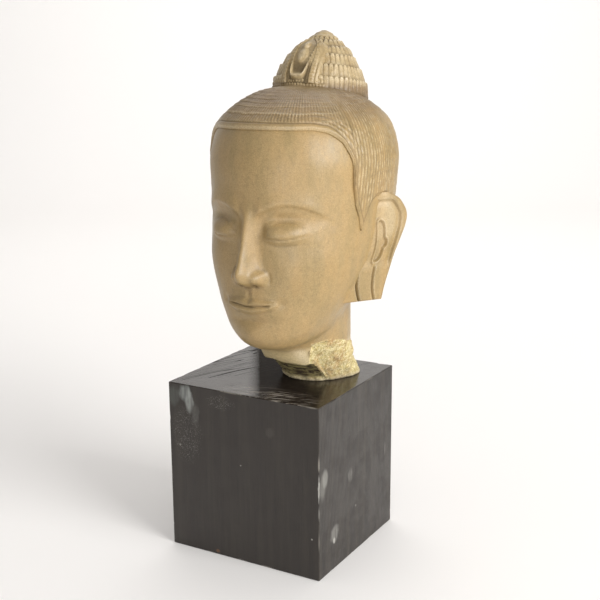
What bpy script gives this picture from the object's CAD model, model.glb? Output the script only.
"""Looks of a carved sandstone Buddha head on its black-stained wooden block.

All carving is worked out as surfaces over two parameters. It is given in shares of the head's height,
chin to crown: x to the head's left, y to the back and z up from the chin. The head's own grids stand
in for the solid stone, and a finely edged block stands in for the solid plinth.
"""
import math

import bpy
import numpy as np
from mathutils import Matrix, Vector


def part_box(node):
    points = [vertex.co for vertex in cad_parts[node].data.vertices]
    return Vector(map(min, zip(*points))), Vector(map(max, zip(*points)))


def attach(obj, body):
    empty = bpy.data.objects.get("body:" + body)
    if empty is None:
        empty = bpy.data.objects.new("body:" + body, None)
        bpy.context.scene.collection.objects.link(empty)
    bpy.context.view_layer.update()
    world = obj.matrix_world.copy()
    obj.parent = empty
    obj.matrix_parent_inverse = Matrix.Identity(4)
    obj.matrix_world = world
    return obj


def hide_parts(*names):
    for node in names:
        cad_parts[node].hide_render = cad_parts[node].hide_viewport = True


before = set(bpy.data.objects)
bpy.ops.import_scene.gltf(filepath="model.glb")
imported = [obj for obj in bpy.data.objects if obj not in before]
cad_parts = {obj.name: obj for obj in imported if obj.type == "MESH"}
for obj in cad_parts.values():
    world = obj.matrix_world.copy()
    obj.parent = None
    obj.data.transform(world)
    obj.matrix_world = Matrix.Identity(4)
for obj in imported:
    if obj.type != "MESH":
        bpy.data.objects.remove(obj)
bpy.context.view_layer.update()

MM = 0.001
HEAD_NODE = "stone_head"
PLINTH_NODE = "wooden_plinth"

# Shares of the head's height that the solid head is built from
NECK_LENGTH = 0.22
KNOT_RADIUS = 0.197
KNOT_BASE = 0.99
KNOT_TIP = 1.253
KNOT_BACK = 0.15
KNOT_LEAN = 0.035
KNOT_SLOPE = 0.19
KNOT_TIERS = 6
TIER_EASE = 1.6
KNOT_POINT = 0.03
NICHE_WIDTH = 0.178
NICHE_HEIGHT = 0.19
NICHE_MIDDLE = 1.112
NICHE_DEPTH = 0.007
CROWN = np.array([0.0, 0.012, 1.03])

# Columns and rows of the fine grids
FACE_COLUMNS = 440
HAIR_COLUMNS_PER_CURL = 4
HAIR_ROWS = 146
KNOT_COLUMNS = 448
KNOT_ROWS_PER_TIER = (26, 22, 19, 16, 13, 10)
NICHE_COLUMNS = 200
NICHE_FRONT_COLUMNS = 160
NICHE_ROWS = 120
EAR_LOOPS = 176
EAR_COLUMNS = 96
BLOCK_LINES = 112

# The head's place, read from the frame
head_low, head_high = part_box(HEAD_NODE)
plinth_low, plinth_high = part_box(PLINTH_NODE)
HEAD_FORWARD = 5 * MM
HEAD_HEIGHT = (head_high[2] - head_low[2]) / (KNOT_TIP + NECK_LENGTH)
CHIN_HEIGHT = head_low[2] + NECK_LENGTH * HEAD_HEIGHT
HEAD_PLACE = np.array([(head_low[0] + head_high[0]) / 2, -HEAD_FORWARD, CHIN_HEIGHT])
SHARE = MM / HEAD_HEIGHT

# Sections of the skull, face and neck, from the crown down: height at the front and at the back,
# front and back of the section, half its width, and its fullness (2 is an ellipse)
SECTIONS = np.array([
    (1.030, 1.030, 0.012, 0.012, 0.000, 2.00),
    (0.995, 0.995, -0.205, 0.230, 0.180, 2.00),
    (0.900, 0.900, -0.370, 0.400, 0.312, 2.00),
    (0.780, 0.780, -0.425, 0.448, 0.361, 2.00),
    (0.660, 0.660, -0.437, 0.456, 0.357, 2.00),
    (0.560, 0.560, -0.434, 0.440, 0.348, 2.05),
    (0.460, 0.460, -0.428, 0.402, 0.342, 2.12),
    (0.350, 0.370, -0.424, 0.350, 0.329, 2.20),
    (0.240, 0.315, -0.418, 0.300, 0.305, 2.20),
    (0.130, 0.275, -0.410, 0.262, 0.272, 2.15),
    (0.050, 0.245, -0.392, 0.238, 0.240, 2.10),
    (0.000, 0.215, -0.345, 0.222, 0.216, 2.05),
    (-0.014, 0.180, -0.280, 0.212, 0.207, 2.00),
    (-0.040, 0.110, -0.230, 0.196, 0.205, 2.00),
])
NECK_TOP = len(SECTIONS) - 1
BREAK_EDGE = NECK_TOP + 1
FOOT_EDGE = NECK_TOP + 2
NECK_RADIUS = 0.205
NECK_AXIS_TOP = np.array([0.0, -0.020, -0.040])
NECK_AXIS_FOOT = np.array([0.030, 0.120, -NECK_LENGTH])

# The break, by degrees round the neck from the front towards the head's left ear
BREAK_DEGREES = (-180, -120, -75, -45, -19, 3, 24, 30, 44, 60, 72, 86, 100, 120, 150, 180)
BREAK_HEIGHTS = (-0.080, -0.100, -0.135, -0.115, -0.093, -0.106, -0.107, -0.100,
                 -0.003, 0.003, -0.002, -0.010, -0.029, -0.050, -0.065, -0.080)
FOOT_DEGREES = (-180, -120, -60, -22, 4, 42, 82, 120, 141, 180)
FOOT_RADII = (0.155, 0.165, 0.180, 0.155, 0.140, 0.116, 0.118, 0.161, 0.170, 0.155)
HOLLOW_LEFT = -75
HOLLOW_RIGHT = 32
HOLLOW_ROOF = 0.012
HOLLOW_REACH = 0.25
BREAK_SLANT = 0.45
BREAK_WAVE = 0.004
BREAK_WAVES = 9

# Hairline: straight over the forehead, a pointed lock before each ear, low at the nape
HAIRLINE_DEGREES = (0, 40, 48, 52, 57.5, 61, 64, 65.5, 68, 72, 74.7, 78, 81, 85, 94, 102, 125, 150, 180)
HAIRLINE_HEIGHTS = (0.877, 0.874, 0.865, 0.853, 0.827, 0.790, 0.740, 0.650, 0.588, 0.530,
                    0.474, 0.535, 0.585, 0.604, 0.604, 0.500, 0.345, 0.288, 0.280)
HAIR_DEPTH = 3.0 * SHARE
HAIR_HEART = np.array([0.0, 0.03, 0.62])
CURL_COLUMNS = 160
CURL_ROW = 8.5
CROWN_REACH = 60.0
CROWN_CROWDING = 0.07
BAND_WIDTH = 5.4
BAND_NARROWING = 0.5
PETAL_WIDTH = 4.6

# Ear: edge sunk in the cheek and free edge, from the top down, as (height, x, y)
EAR_FRONT = np.array([
    (0.615, 0.352, -0.020), (0.590, 0.333, -0.036), (0.560, 0.328, -0.044), (0.520, 0.326, -0.050),
    (0.480, 0.325, -0.054), (0.430, 0.321, -0.062), (0.360, 0.313, -0.082), (0.290, 0.292, -0.118),
    (0.230, 0.274, -0.138), (0.175, 0.262, -0.142),
])
EAR_REAR = np.array([
    (0.615, 0.380, 0.022), (0.590, 0.402, 0.070), (0.560, 0.413, 0.098), (0.520, 0.420, 0.119),
    (0.480, 0.418, 0.114), (0.430, 0.410, 0.090), (0.360, 0.395, 0.057), (0.290, 0.381, 0.036),
    (0.230, 0.371, 0.016), (0.175, 0.363, 0.004),
])
EAR_ROOT = 0.235
EAR_ROOT_INSET = 0.15
EAR_RIM = 0.016
EAR_LIP = 0.004
EAR_BACK = 0.042
EAR_BACK_TUCK = 0.02
EAR_EASE = 0.0006
EAR_SWELL = 0.004
EAR_BLEND = 1.6

BLOCK_ROUNDING = 0.8 * MM

# The camera, solved from the block's corners
CAMERA_PLACE = (0.49311, -0.81877, 0.45661)
CAMERA_AZIMUTH = 30.074
CAMERA_ELEVATION = 13.314
CAMERA_ROLL = -0.372
CAMERA_LENS = 63.72
CAMERA_SENSOR = 36.0

# Soft lamps: name, place, where each is aimed, side in metres and watts
LAMPS = (
    ("key_softbox", (2.50, -0.49, 1.27), (0.0, 0.0, 0.25), 1.60, 75.0),
    ("low_front_softbox", (0.9, -1.7, 0.30), (0.0, 0.0, 0.20), 0.9, 9.0),
    ("backdrop_softbox", (-0.6, 1.2, 2.0), (-1.2, 2.3, 0.2), 1.6, 20.0),
)
ROOM_BRIGHTNESS = 0.49
FLOOR_DROP = 0.0003
FLOOR_TURN = 30.0


def smooth_step(start, end, value):
    """A soft ramp from 0 at start to 1 at end."""
    share = np.clip((value - start) / (end - start), 0.0, 1.0)
    return share * share * (3.0 - 2.0 * share)


def bump(offset, spread):
    """A bell curve, 1 at no offset, that dies away over about twice its spread."""
    return np.exp(-(offset / spread) ** 2)


def smooth_through(knots, values, at):
    """A cubic curve through the values, with the slope at each knot taken from its neighbours."""
    knots = np.asarray(knots, float)
    values = np.asarray(values, float)
    slopes = np.gradient(values, knots, axis=0)
    low = np.clip(np.searchsorted(knots, at, side="right") - 1, 0, len(knots) - 2)
    step = knots[low + 1] - knots[low]
    share = (at - knots[low]) / step
    if values.ndim > 1:
        step = step[..., None]
        share = share[..., None]
    start = (1 + 2 * share) * (1 - share) ** 2 * values[low]
    end = share * share * (3 - 2 * share) * values[low + 1]
    leave = share * (1 - share) ** 2 * step * slopes[low]
    arrive = share * share * (share - 1) * step * slopes[low + 1]
    return start + end + leave + arrive


def ramp_through(pairs, at):
    """The same curve through (place, value) pairs, held level beyond both ends."""
    knots, values = zip(*pairs)
    return smooth_through(knots, values, np.clip(at, knots[0], knots[-1]))


def around(degrees):
    """Any angle brought into -180 to 180."""
    return (degrees + 180.0) % 360.0 - 180.0


def spread_angles(count, crowding):
    """Angles once round, from straight behind, closer together where the crowding is high."""
    fine = np.linspace(-180.0, 180.0, 3601)
    weight = np.cumsum(crowding(fine))
    weight = (weight - weight[0]) / (weight[-1] - weight[0])
    return np.interp(np.arange(count) / count, weight, fine)


def grain(points, size, seed):
    """Smooth random values from -1 to 1: hashed values on a lattice of the given size, blended."""
    cell = points / size
    base = np.floor(cell).astype(np.int64)
    part = cell - base
    part = part * part * (3.0 - 2.0 * part)
    total = np.zeros(points.shape[:-1])
    for corner in np.ndindex(2, 2, 2):
        spot = base + np.array(corner)
        mixed = spot[..., 0] * 73856093 ^ spot[..., 1] * 19349663 ^ spot[..., 2] * 83492791
        mixed = (mixed ^ seed * 2654435761) & 0x7FFFFFFF
        mixed = ((mixed ^ (mixed >> 13)) * 1274126177) & 0x7FFFFFFF
        mixed = ((mixed ^ (mixed >> 16)) * 1911520717) & 0x7FFFFFFF
        weight = np.prod(np.where(np.array(corner) == 1, part, 1.0 - part), axis=-1)
        total += weight * (mixed / 0x3FFFFFFF - 1.0)
    return total


def oval(degrees, section):
    """A point on a section at an angle from the front, as x, y and height on the section's slope."""
    angle = np.radians(degrees)
    power = 2.0 / section[..., 5]
    x = section[..., 4] * np.sign(np.sin(angle)) * np.abs(np.sin(angle)) ** power
    forward = np.sign(np.cos(angle)) * np.abs(np.cos(angle)) ** power
    front = section[..., 2]
    back = section[..., 3]
    y = (front + back) / 2 - forward * (back - front) / 2
    z = section[..., 0] + (section[..., 1] - section[..., 0]) * (1.0 - forward) / 2
    return np.stack([x, y, z], axis=-1)


def skull(degrees, station):
    """The head without its features: a point at an angle on the section at a station."""
    section = smooth_through(np.arange(len(SECTIONS)), SECTIONS, np.clip(station, 0, NECK_TOP))
    return oval(degrees, section)


def direction(degrees):
    """A level unit vector at an angle from the front towards the head's left."""
    angle = np.radians(degrees)
    return np.stack([np.sin(angle), -np.cos(angle), np.zeros_like(angle)], axis=-1)


def normals(surface, degrees, station):
    """Outward unit vectors of a surface, from its change with angle and with station."""
    along = surface(degrees + 0.5, station) - surface(degrees - 0.5, station)
    down = surface(degrees, station + 0.02) - surface(degrees, station - 0.02)
    out = np.cross(down, along)
    return out / np.maximum(np.linalg.norm(out, axis=-1, keepdims=True), 1e-9)


def grid_normals(grid):
    """Outward unit vectors of a grid whose columns close, from its neighbours' differences."""
    along = np.roll(grid, -1, axis=1) - np.roll(grid, 1, axis=1)
    down = np.gradient(grid, axis=0)
    out = np.cross(down, along)
    return out / np.maximum(np.linalg.norm(out, axis=-1, keepdims=True), 1e-9)


def beside_each(values, across, down):
    """The mean of each value's four neighbours, some columns across and some rows up and down."""
    columns = np.roll(values, across, 1) + np.roll(values, -across, 1)
    rows = np.roll(values, down, 0) + np.roll(values, -down, 0)
    return (columns + rows) / 4


def break_height(degrees):
    """The height of the break's upper edge round the neck."""
    return np.interp(around(degrees), BREAK_DEGREES, BREAK_HEIGHTS)


def last_smooth(degrees):
    """The lowest station left smooth: the neck's top, or higher up where the break reaches it."""
    upper = skull(degrees, np.full_like(degrees, NECK_TOP - 1))[..., 2]
    lower = skull(degrees, np.full_like(degrees, NECK_TOP))[..., 2]
    return NECK_TOP - 1 + np.clip((upper - break_height(degrees)) / (upper - lower), 0, 1)


def smooth_skull(degrees, station):
    """The skull with its last stations drawn up to end at the break."""
    start = NECK_TOP - 1
    over = np.clip(station - start, 0, 1)
    drawn_up = start + over * (last_smooth(degrees) - start)
    return skull(degrees, np.where(over > 0, drawn_up, station))


def broken_neck(degrees, station):
    """From the neck's top down its smooth round, in over the break to the foot, and under it.

    The break is a curve from the smooth neck's edge to the foot's outline, bent by one control
    point: high and far in where the stone is hollowed out, near the straight line elsewhere.
    """
    angle = around(degrees)
    height = break_height(degrees)
    share = np.clip((NECK_AXIS_TOP[2] - height) / (NECK_AXIS_TOP[2] - NECK_AXIS_FOOT[2]), 0, 1)
    level = direction(degrees)
    last = last_smooth(degrees)
    top = skull(degrees, last)
    axis = NECK_AXIS_TOP + share[..., None] * (NECK_AXIS_FOOT - NECK_AXIS_TOP)
    edge = axis + NECK_RADIUS * level
    edge[..., 2] = height
    edge = np.where((last < NECK_TOP)[..., None], top, edge)
    foot = NECK_AXIS_FOOT + np.interp(angle, FOOT_DEGREES, FOOT_RADII)[..., None] * level
    hollow = smooth_step(HOLLOW_LEFT - 25, HOLLOW_LEFT, angle)
    hollow = (hollow * (1 - smooth_step(HOLLOW_RIGHT - 10, HOLLOW_RIGHT + 8, angle)))[..., None]
    roof = foot + HOLLOW_REACH * (edge - foot)
    roof[..., 2] = edge[..., 2] - HOLLOW_ROOF
    slant = edge + BREAK_SLANT * (foot - edge) - HOLLOW_ROOF * level
    control = slant + hollow * (roof - slant)
    smooth = np.clip(station - NECK_TOP, 0, 1)[..., None]
    fall = np.clip(station - BREAK_EDGE, 0, 1)[..., None]
    under = np.clip(station - FOOT_EDGE, 0, 1)[..., None]
    fallen = (1 - fall) ** 2 * edge + 2 * fall * (1 - fall) * control + fall ** 2 * foot
    down = fall[..., 0]
    chips = BREAK_WAVE * np.sin(np.radians(degrees) * BREAK_WAVES + down * 7) * np.sin(down * math.pi)
    fallen = fallen + chips[..., None] * level
    point = np.where(station[..., None] > BREAK_EDGE, fallen, top + smooth * (edge - top))
    return point + under * (NECK_AXIS_FOOT - foot)


def nose_rise(x, z):
    """A straight nose: a ridge from the brows to a rounded tip, two wings and their creases.

    The ridge is a curve down the middle times a bell curve across it, and each wing is a rounded bump.
    """
    ridge = ramp_through(((0.258, 0.0), (0.272, 0.010), (0.290, 0.058), (0.322, 0.094), (0.38, 0.077),
                          (0.45, 0.050), (0.52, 0.028), (0.565, 0.014), (0.61, 0.0)), z)
    width = ramp_through(((0.255, 0.034), (0.290, 0.040), (0.325, 0.040), (0.38, 0.031), (0.45, 0.026),
                          (0.52, 0.026), (0.565, 0.036), (0.61, 0.06)), z)
    wing_side = np.abs(x) - 0.054
    wings = 0.036 * np.exp(-(np.abs(wing_side) / 0.021) ** 2.4 - (np.abs(z - 0.312) / 0.026) ** 2.4)
    ring = np.sqrt(wing_side ** 2 + ((z - 0.310) * 0.9) ** 2)
    outside = smooth_step(-0.002, 0.014, wing_side)
    crease = -0.005 * bump(ring - 0.032, 0.007) * outside * smooth_step(0.284, 0.30, z)
    nostril = -0.018 * bump(np.abs(x) - 0.030, 0.012) * bump(z - 0.281, 0.007)
    return ridge * np.exp(-(np.abs(x) / width) ** 2.2) + wings + crease + nostril


def eye_rise(x, z):
    """Arched brows, soft sockets and round lowered lids, with a fold above and a lash line below."""
    out = np.abs(x)
    side = (out - 0.141) / 0.078
    reach = np.clip(1.0 - side ** 2, 0.0, 1.0)
    arch = 0.603 - np.where(out < 0.155, 3.2, 4.2) * (out - 0.155) ** 2
    above = z - arch
    along = smooth_step(0.022, 0.060, out) * smooth_step(0.290, 0.230, out)
    brow = 0.011 * np.exp(-(above / np.where(above > 0, 0.036, 0.010)) ** 2) * along
    socket = -0.027 * bump(out - 0.141, 0.088) * bump(z - 0.534, 0.033)
    inner = -0.010 * bump(out - 0.058, 0.020) * bump(z - 0.500, 0.030)
    ball = 0.030 * np.exp(-np.abs(side / 0.86) ** 2.6 - np.abs((z - 0.496) / 0.036) ** 2.6)
    lash_line = 0.4800 - 0.0125 * reach + 0.003 * side
    over = z - lash_line
    fading = np.exp(-np.clip(over, 0, 1) / 0.03)
    step = 0.0055 * smooth_step(-0.0015, 0.0025, over) * fading * reach ** 0.7
    slit = -0.0050 * bump(over + 0.0015, 0.0028) * reach ** 0.5
    lower = 0.0050 * bump(over + 0.012, 0.008) * reach - 0.0025 * bump(over + 0.030, 0.007) * reach
    fold = -0.0034 * bump(z - (0.4935 + 0.0365 * reach ** 0.8 + 0.004 * side), 0.0036) * reach ** 0.4
    return brow + socket + inner + ball + step + slit + lower + fold


def mouth_rise(x, z):
    """Two full lips with fine raised borders on a rounded jaw, the groove above and the fold below."""
    reach = np.clip(1.0 - (x / 0.120) ** 2, 0.0, 1.0)
    line = 0.197 + 0.8 * x ** 2 - 0.002 * bump(x, 0.02)
    bow = 0.027 * reach ** 0.7 - 0.006 * bump(x, 0.014) + 0.002 * bump(np.abs(x) - 0.034, 0.018)
    sill = 0.033 * reach ** 0.8
    up = np.clip((z - line) / np.maximum(bow, 0.003), 0, 1)
    down = np.clip((line - z) / np.maximum(sill, 0.003), 0, 1)
    full = np.clip(reach * 2.5, 0, 1) ** 0.7
    upper = 0.0160 * (1 - np.exp(-up / 0.16)) * (1 - up ** 5) * (1 - 0.25 * up) * full
    lower = 0.0205 * (1 - np.exp(-down / 0.14)) * (1 - down ** 4) * (1 - 0.20 * down) * full
    border = 0.0022 * bump(z - line - bow, 0.0036) + 0.0014 * bump(line - sill - z, 0.0040)
    border = border * full
    parting = -0.0050 * bump(z - line, 0.0030) * np.clip(reach * 4, 0, 1)
    corners = -0.0060 * bump(np.abs(x) - 0.128, 0.017) * bump(z - 0.209, 0.017)
    groove = 0.0016 * bump(np.abs(x) - 0.017, 0.007) - 0.0045 * bump(x, 0.011)
    swell = 0.020 * bump(x, 0.15) * bump(z - 0.205, 0.085)
    fold = -0.010 * bump(x, 0.085) * bump(z - 0.133, 0.018)
    return upper + lower + border + parting + corners + groove * bump(z - 0.246, 0.015) + swell + fold


def face_rise(point):
    """How far the features stand forward of the skull: the sum of eyes, nose, mouth, chin and cheeks."""
    x = point[..., 0]
    z = point[..., 2]
    chin = 0.022 * bump(x, 0.08) * bump(z - 0.062, 0.050)
    cheeks = 0.012 * bump(np.abs(x) - 0.20, 0.085) * bump(z - 0.36, 0.090)
    rise = nose_rise(x, z) + eye_rise(x, z) + mouth_rise(x, z) + chin + cheeks
    facing = smooth_step(0.0, -0.18, point[..., 1])
    return rise * facing


def knot_profile(height):
    """Radius of the topknot at a height: straight runs between ten widths, rounding over to the tip."""
    heights = (KNOT_BASE, 1.036, 1.067, 1.108, 1.142, 1.172, 1.200, 1.218, 1.242, KNOT_TIP)
    shares = (1.01, 0.975, 0.91, 0.805, 0.70, 0.58, 0.40, 0.28, 0.165, 0.04)
    return KNOT_RADIUS * np.interp(height, heights, shares)


def knot_point(degrees, height, proud):
    """A point standing proud of the topknot's leaning round, whose tiers drop towards the back."""
    radius = knot_profile(height)
    slope = (knot_profile(height - 0.012) - knot_profile(height + 0.012)) / 0.024
    length = np.sqrt(1 + slope ** 2)
    radius = radius + proud / length
    height = height + proud * slope / length
    rise = (height - KNOT_BASE) / (KNOT_TIP - KNOT_BASE)
    flat = radius[..., None] * direction(degrees)
    point = flat.copy()
    point[..., 1] += KNOT_BACK + KNOT_LEAN * rise ** 2
    point[..., 2] = height - KNOT_SLOPE * flat[..., 1] * (1 - 0.6 * rise)
    return point


def station_at(degrees, heights):
    """The station where the skull has the given height, for each angle."""
    stations = np.linspace(0.05, NECK_TOP, 400)
    levels = skull(np.asarray(degrees)[:, None], stations[None, :])[..., 2]
    return np.array([np.interp(-height, -row, stations) for height, row in zip(heights, levels)])


def placed(points):
    """Shares of the head's height turned into metres at the head's place."""
    return points * HEAD_HEIGHT + HEAD_PLACE


def mesh_of(name, points, quads, triangles, finish, node, marks):
    """A piece from points in metres and index arrays, turned to face outwards, with point marks."""
    corners = points[quads]
    volume = np.einsum("ij,ij->i", corners[:, 0], np.cross(corners[:, 1], corners[:, 2])).sum()
    volume += np.einsum("ij,ij->i", corners[:, 0], np.cross(corners[:, 2], corners[:, 3])).sum()
    if volume < 0:
        quads = quads[:, ::-1]
        triangles = triangles[:, ::-1]
    mesh = bpy.data.meshes.new(name)
    loops = np.concatenate([quads.ravel(), triangles.ravel()])
    sizes = np.concatenate([np.full(len(quads), 4), np.full(len(triangles), 3)])
    mesh.vertices.add(len(points))
    mesh.vertices.foreach_set("co", points.astype(np.float32).ravel())
    mesh.loops.add(len(loops))
    mesh.loops.foreach_set("vertex_index", loops.astype(np.int32))
    mesh.polygons.add(len(sizes))
    mesh.polygons.foreach_set("loop_start", (np.cumsum(sizes) - sizes).astype(np.int32))
    mesh.update(calc_edges=True)
    mesh.shade_smooth()
    for label, values in marks.items():
        mark = mesh.attributes.new(label, "FLOAT", "POINT")
        mark.data.foreach_set("value", np.clip(values, 0, 1).astype(np.float32).ravel())
    mesh.materials.append(finish)
    piece = bpy.data.objects.new(name, mesh)
    bpy.context.scene.collection.objects.link(piece)
    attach(piece, "root")
    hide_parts(node)
    return piece


def closed_grid(name, grid, top, bottom, finish, marks):
    """A stone piece from rows of points round an axis, closed by a pole above and a pole below."""
    rows, columns = grid.shape[:2]
    poles = [np.asarray(pole)[None] for pole in (top, bottom)]
    points = placed(np.concatenate([poles[0], grid.reshape(-1, 3), poles[1]]))
    index = 1 + np.arange(rows * columns).reshape(rows, columns)
    beside = np.roll(index, -1, axis=1)
    quads = np.stack([index[:-1], index[1:], beside[1:], beside[:-1]], axis=-1).reshape(-1, 4)
    last = rows * columns + 1
    upper = np.stack([np.zeros(columns, int), index[0], beside[0]], axis=-1)
    lower = np.stack([np.full(columns, last), beside[-1], index[-1]], axis=-1)
    marks = {label: np.concatenate([[0.0], values.ravel(), [0.0]]) for label, values in marks.items()}
    triangles = np.concatenate([upper, lower])
    return mesh_of(name, points, quads, triangles, finish, HEAD_NODE, marks)


def weathered(grid, strength=1.0):
    """Small unevenness of hand-rubbed stone: slow waves and a finer ripple along the normals."""
    out = grid_normals(grid)
    wave = 0.28 * grain(grid, 17 * SHARE, 5) + 0.13 * grain(grid, 6 * SHARE, 6)
    ripple = 0.05 * grain(grid, 1.6 * SHARE, 7)
    return grid + ((wave + ripple) * strength * SHARE)[..., None] * out


def build_face(stone):
    """Face and neck, from just under the hair down over the break to the foot.

    Each row goes round the skull at one station, drawn forward by the face's features. Below the neck's
    top the rows follow the break instead, pushed out and in by three sizes of random grain, and by level
    layers in the cave. Hollows darker than their neighbours are marked by how far they lie below them.
    """
    angles = spread_angles(FACE_COLUMNS, lambda a: 1.0 + 3.0 * bump(a, 50.0) + 0.8 * bump(a - 45, 30.0))
    stations = np.concatenate([
        np.linspace(1.9, 4.5, 20, endpoint=False),
        np.linspace(4.5, 10.3, 128, endpoint=False),
        np.linspace(10.3, NECK_TOP, 20, endpoint=False),
        np.linspace(NECK_TOP, BREAK_EDGE, 10, endpoint=False),
        np.linspace(BREAK_EDGE, FOOT_EDGE, 38),
        [FOOT_EDGE + 0.5],
    ])
    degrees, station = np.broadcast_arrays(angles[None, :], stations[:, None])
    bare = smooth_skull(degrees, station)
    rise = face_rise(bare)
    grid = bare.copy()
    grid[..., 1] -= rise
    below = (station > NECK_TOP)[..., None]
    grid = np.where(below, broken_neck(degrees, station), grid)
    angle = around(degrees)
    height = break_height(angle)
    broken = smooth_step(1.2, -0.3, (grid[..., 2] - height) / SHARE + 0.5 * grain(grid, 5 * SHARE, 10))
    broken = np.where(station > BREAK_EDGE, 1.0, broken * (station > NECK_TOP - 1))
    on_side = 1 - smooth_step(FOOT_EDGE - 0.02, FOOT_EDGE + 0.05, station)
    hollow = smooth_step(-90, -60, angle) * (1 - smooth_step(24, 36, angle))
    cave = hollow * smooth_step(BREAK_EDGE - 0.02, BREAK_EDGE + 0.12, station)
    cave = cave * smooth_step(FOOT_EDGE - 0.01, FOOT_EDGE - 0.16, station)
    layers = np.sin(grid[..., 2] / SHARE / 1.5 * math.pi + 2.2 * grain(grid, 14 * SHARE, 14))
    rough = 1.4 * grain(grid, 9 * SHARE, 11) + 0.8 * grain(grid, 4 * SHARE, 12)
    rough = (rough + 0.4 * grain(grid, 1.8 * SHARE, 13)) * (1 - 0.35 * cave) + 0.75 * layers * cave
    grid = weathered(grid)
    grid = grid + (rough * broken * on_side * SHARE)[..., None] * direction(degrees)
    flat = station >= FOOT_EDGE
    grid[..., 2] = np.where(flat, -NECK_LENGTH, np.maximum(grid[..., 2], -NECK_LENGTH))
    near = beside_each(rise, 3, 3)
    recess = np.clip((near - rise) / (1.4 * SHARE) - 0.12, 0, 1) * 0.75
    pale = 0.75 * bump(angle - 27, 9.0) * bump(station - (NECK_TOP + 0.35), 0.65) * (1 - broken)
    pale = np.maximum(pale, 0.8 * bump(station - FOOT_EDGE, 0.06) * broken)
    marks = {"recess": recess, "broken": broken, "cave": cave, "pale": pale}
    heart = np.array([0.0, 0.03, 0.80])
    inner = heart + 0.6 * (grid[:1] - heart)
    grid = np.concatenate([inner, grid])
    marks = {label: np.concatenate([values[:1] * 0, values]) for label, values in marks.items()}
    return closed_grid("face_and_neck", grid, heart, NECK_AXIS_FOOT, stone, marks)


def hairline_gap(points):
    """Distance in millimetres from each point to the nearest point of the hairline."""
    angles = np.linspace(-180, 180, 721)
    heights = np.interp(np.abs(angles), HAIRLINE_DEGREES, HAIRLINE_HEIGHTS)
    line = skull(angles, station_at(angles, heights))
    gaps = []
    for row in points:
        apart = row[:, None, :] - line[None, :, :]
        gaps.append(np.sqrt((apart ** 2).sum(axis=-1).min(axis=1)))
    return np.array(gaps) / SHARE


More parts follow.
